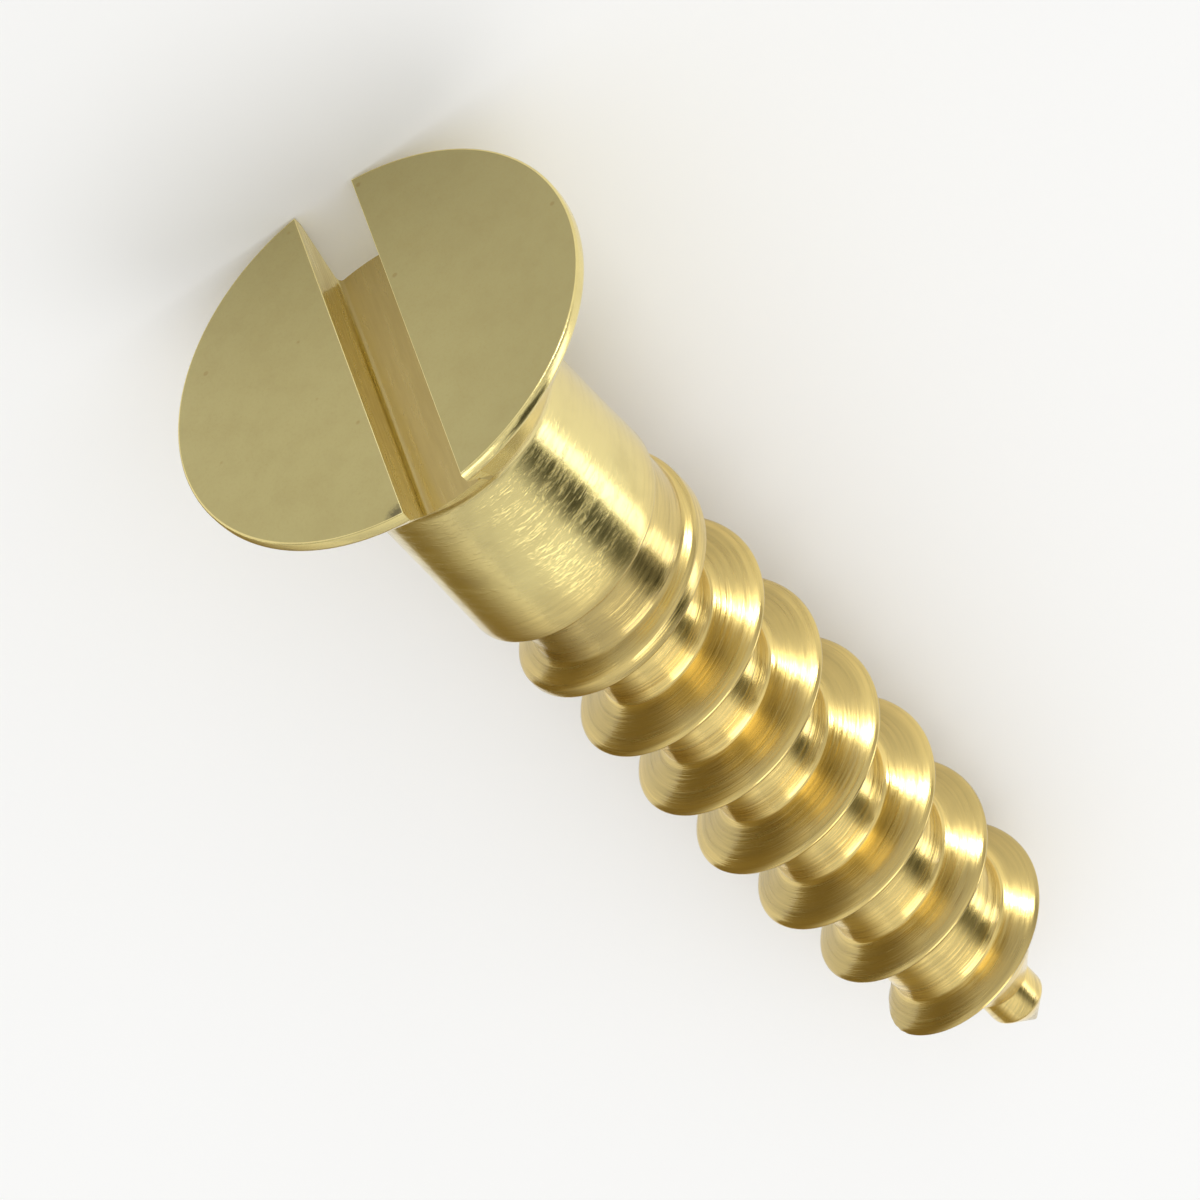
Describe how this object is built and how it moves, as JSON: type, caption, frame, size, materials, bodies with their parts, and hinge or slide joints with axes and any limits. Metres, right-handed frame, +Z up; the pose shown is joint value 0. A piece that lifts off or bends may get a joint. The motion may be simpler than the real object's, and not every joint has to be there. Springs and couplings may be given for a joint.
{
  "type": "wood screw",
  "caption": "Slotted countersunk wood screw in plain brass, with a smooth shank, a coarse right-hand thread and a short blunt nib at the point.",
  "frame": {"origin": "middle of the screw's box, on the surface that it lies on", "axes": "+X from the head towards the point, +Z up from the surface, +Y across; the screw's own axis dips about 6.7 degrees towards the point, as it lies"},
  "size_m": [0.0254, 0.0094, 0.0094],
  "materials": {
    "brass": "turned and cut metal left plain: satin face with faint mottling, bright shank with fine scratches around it, drawn streaks along the thread"
  },
  "bodies": {
    "root": {"screw": "brass"}
  },
  "joints": []
}
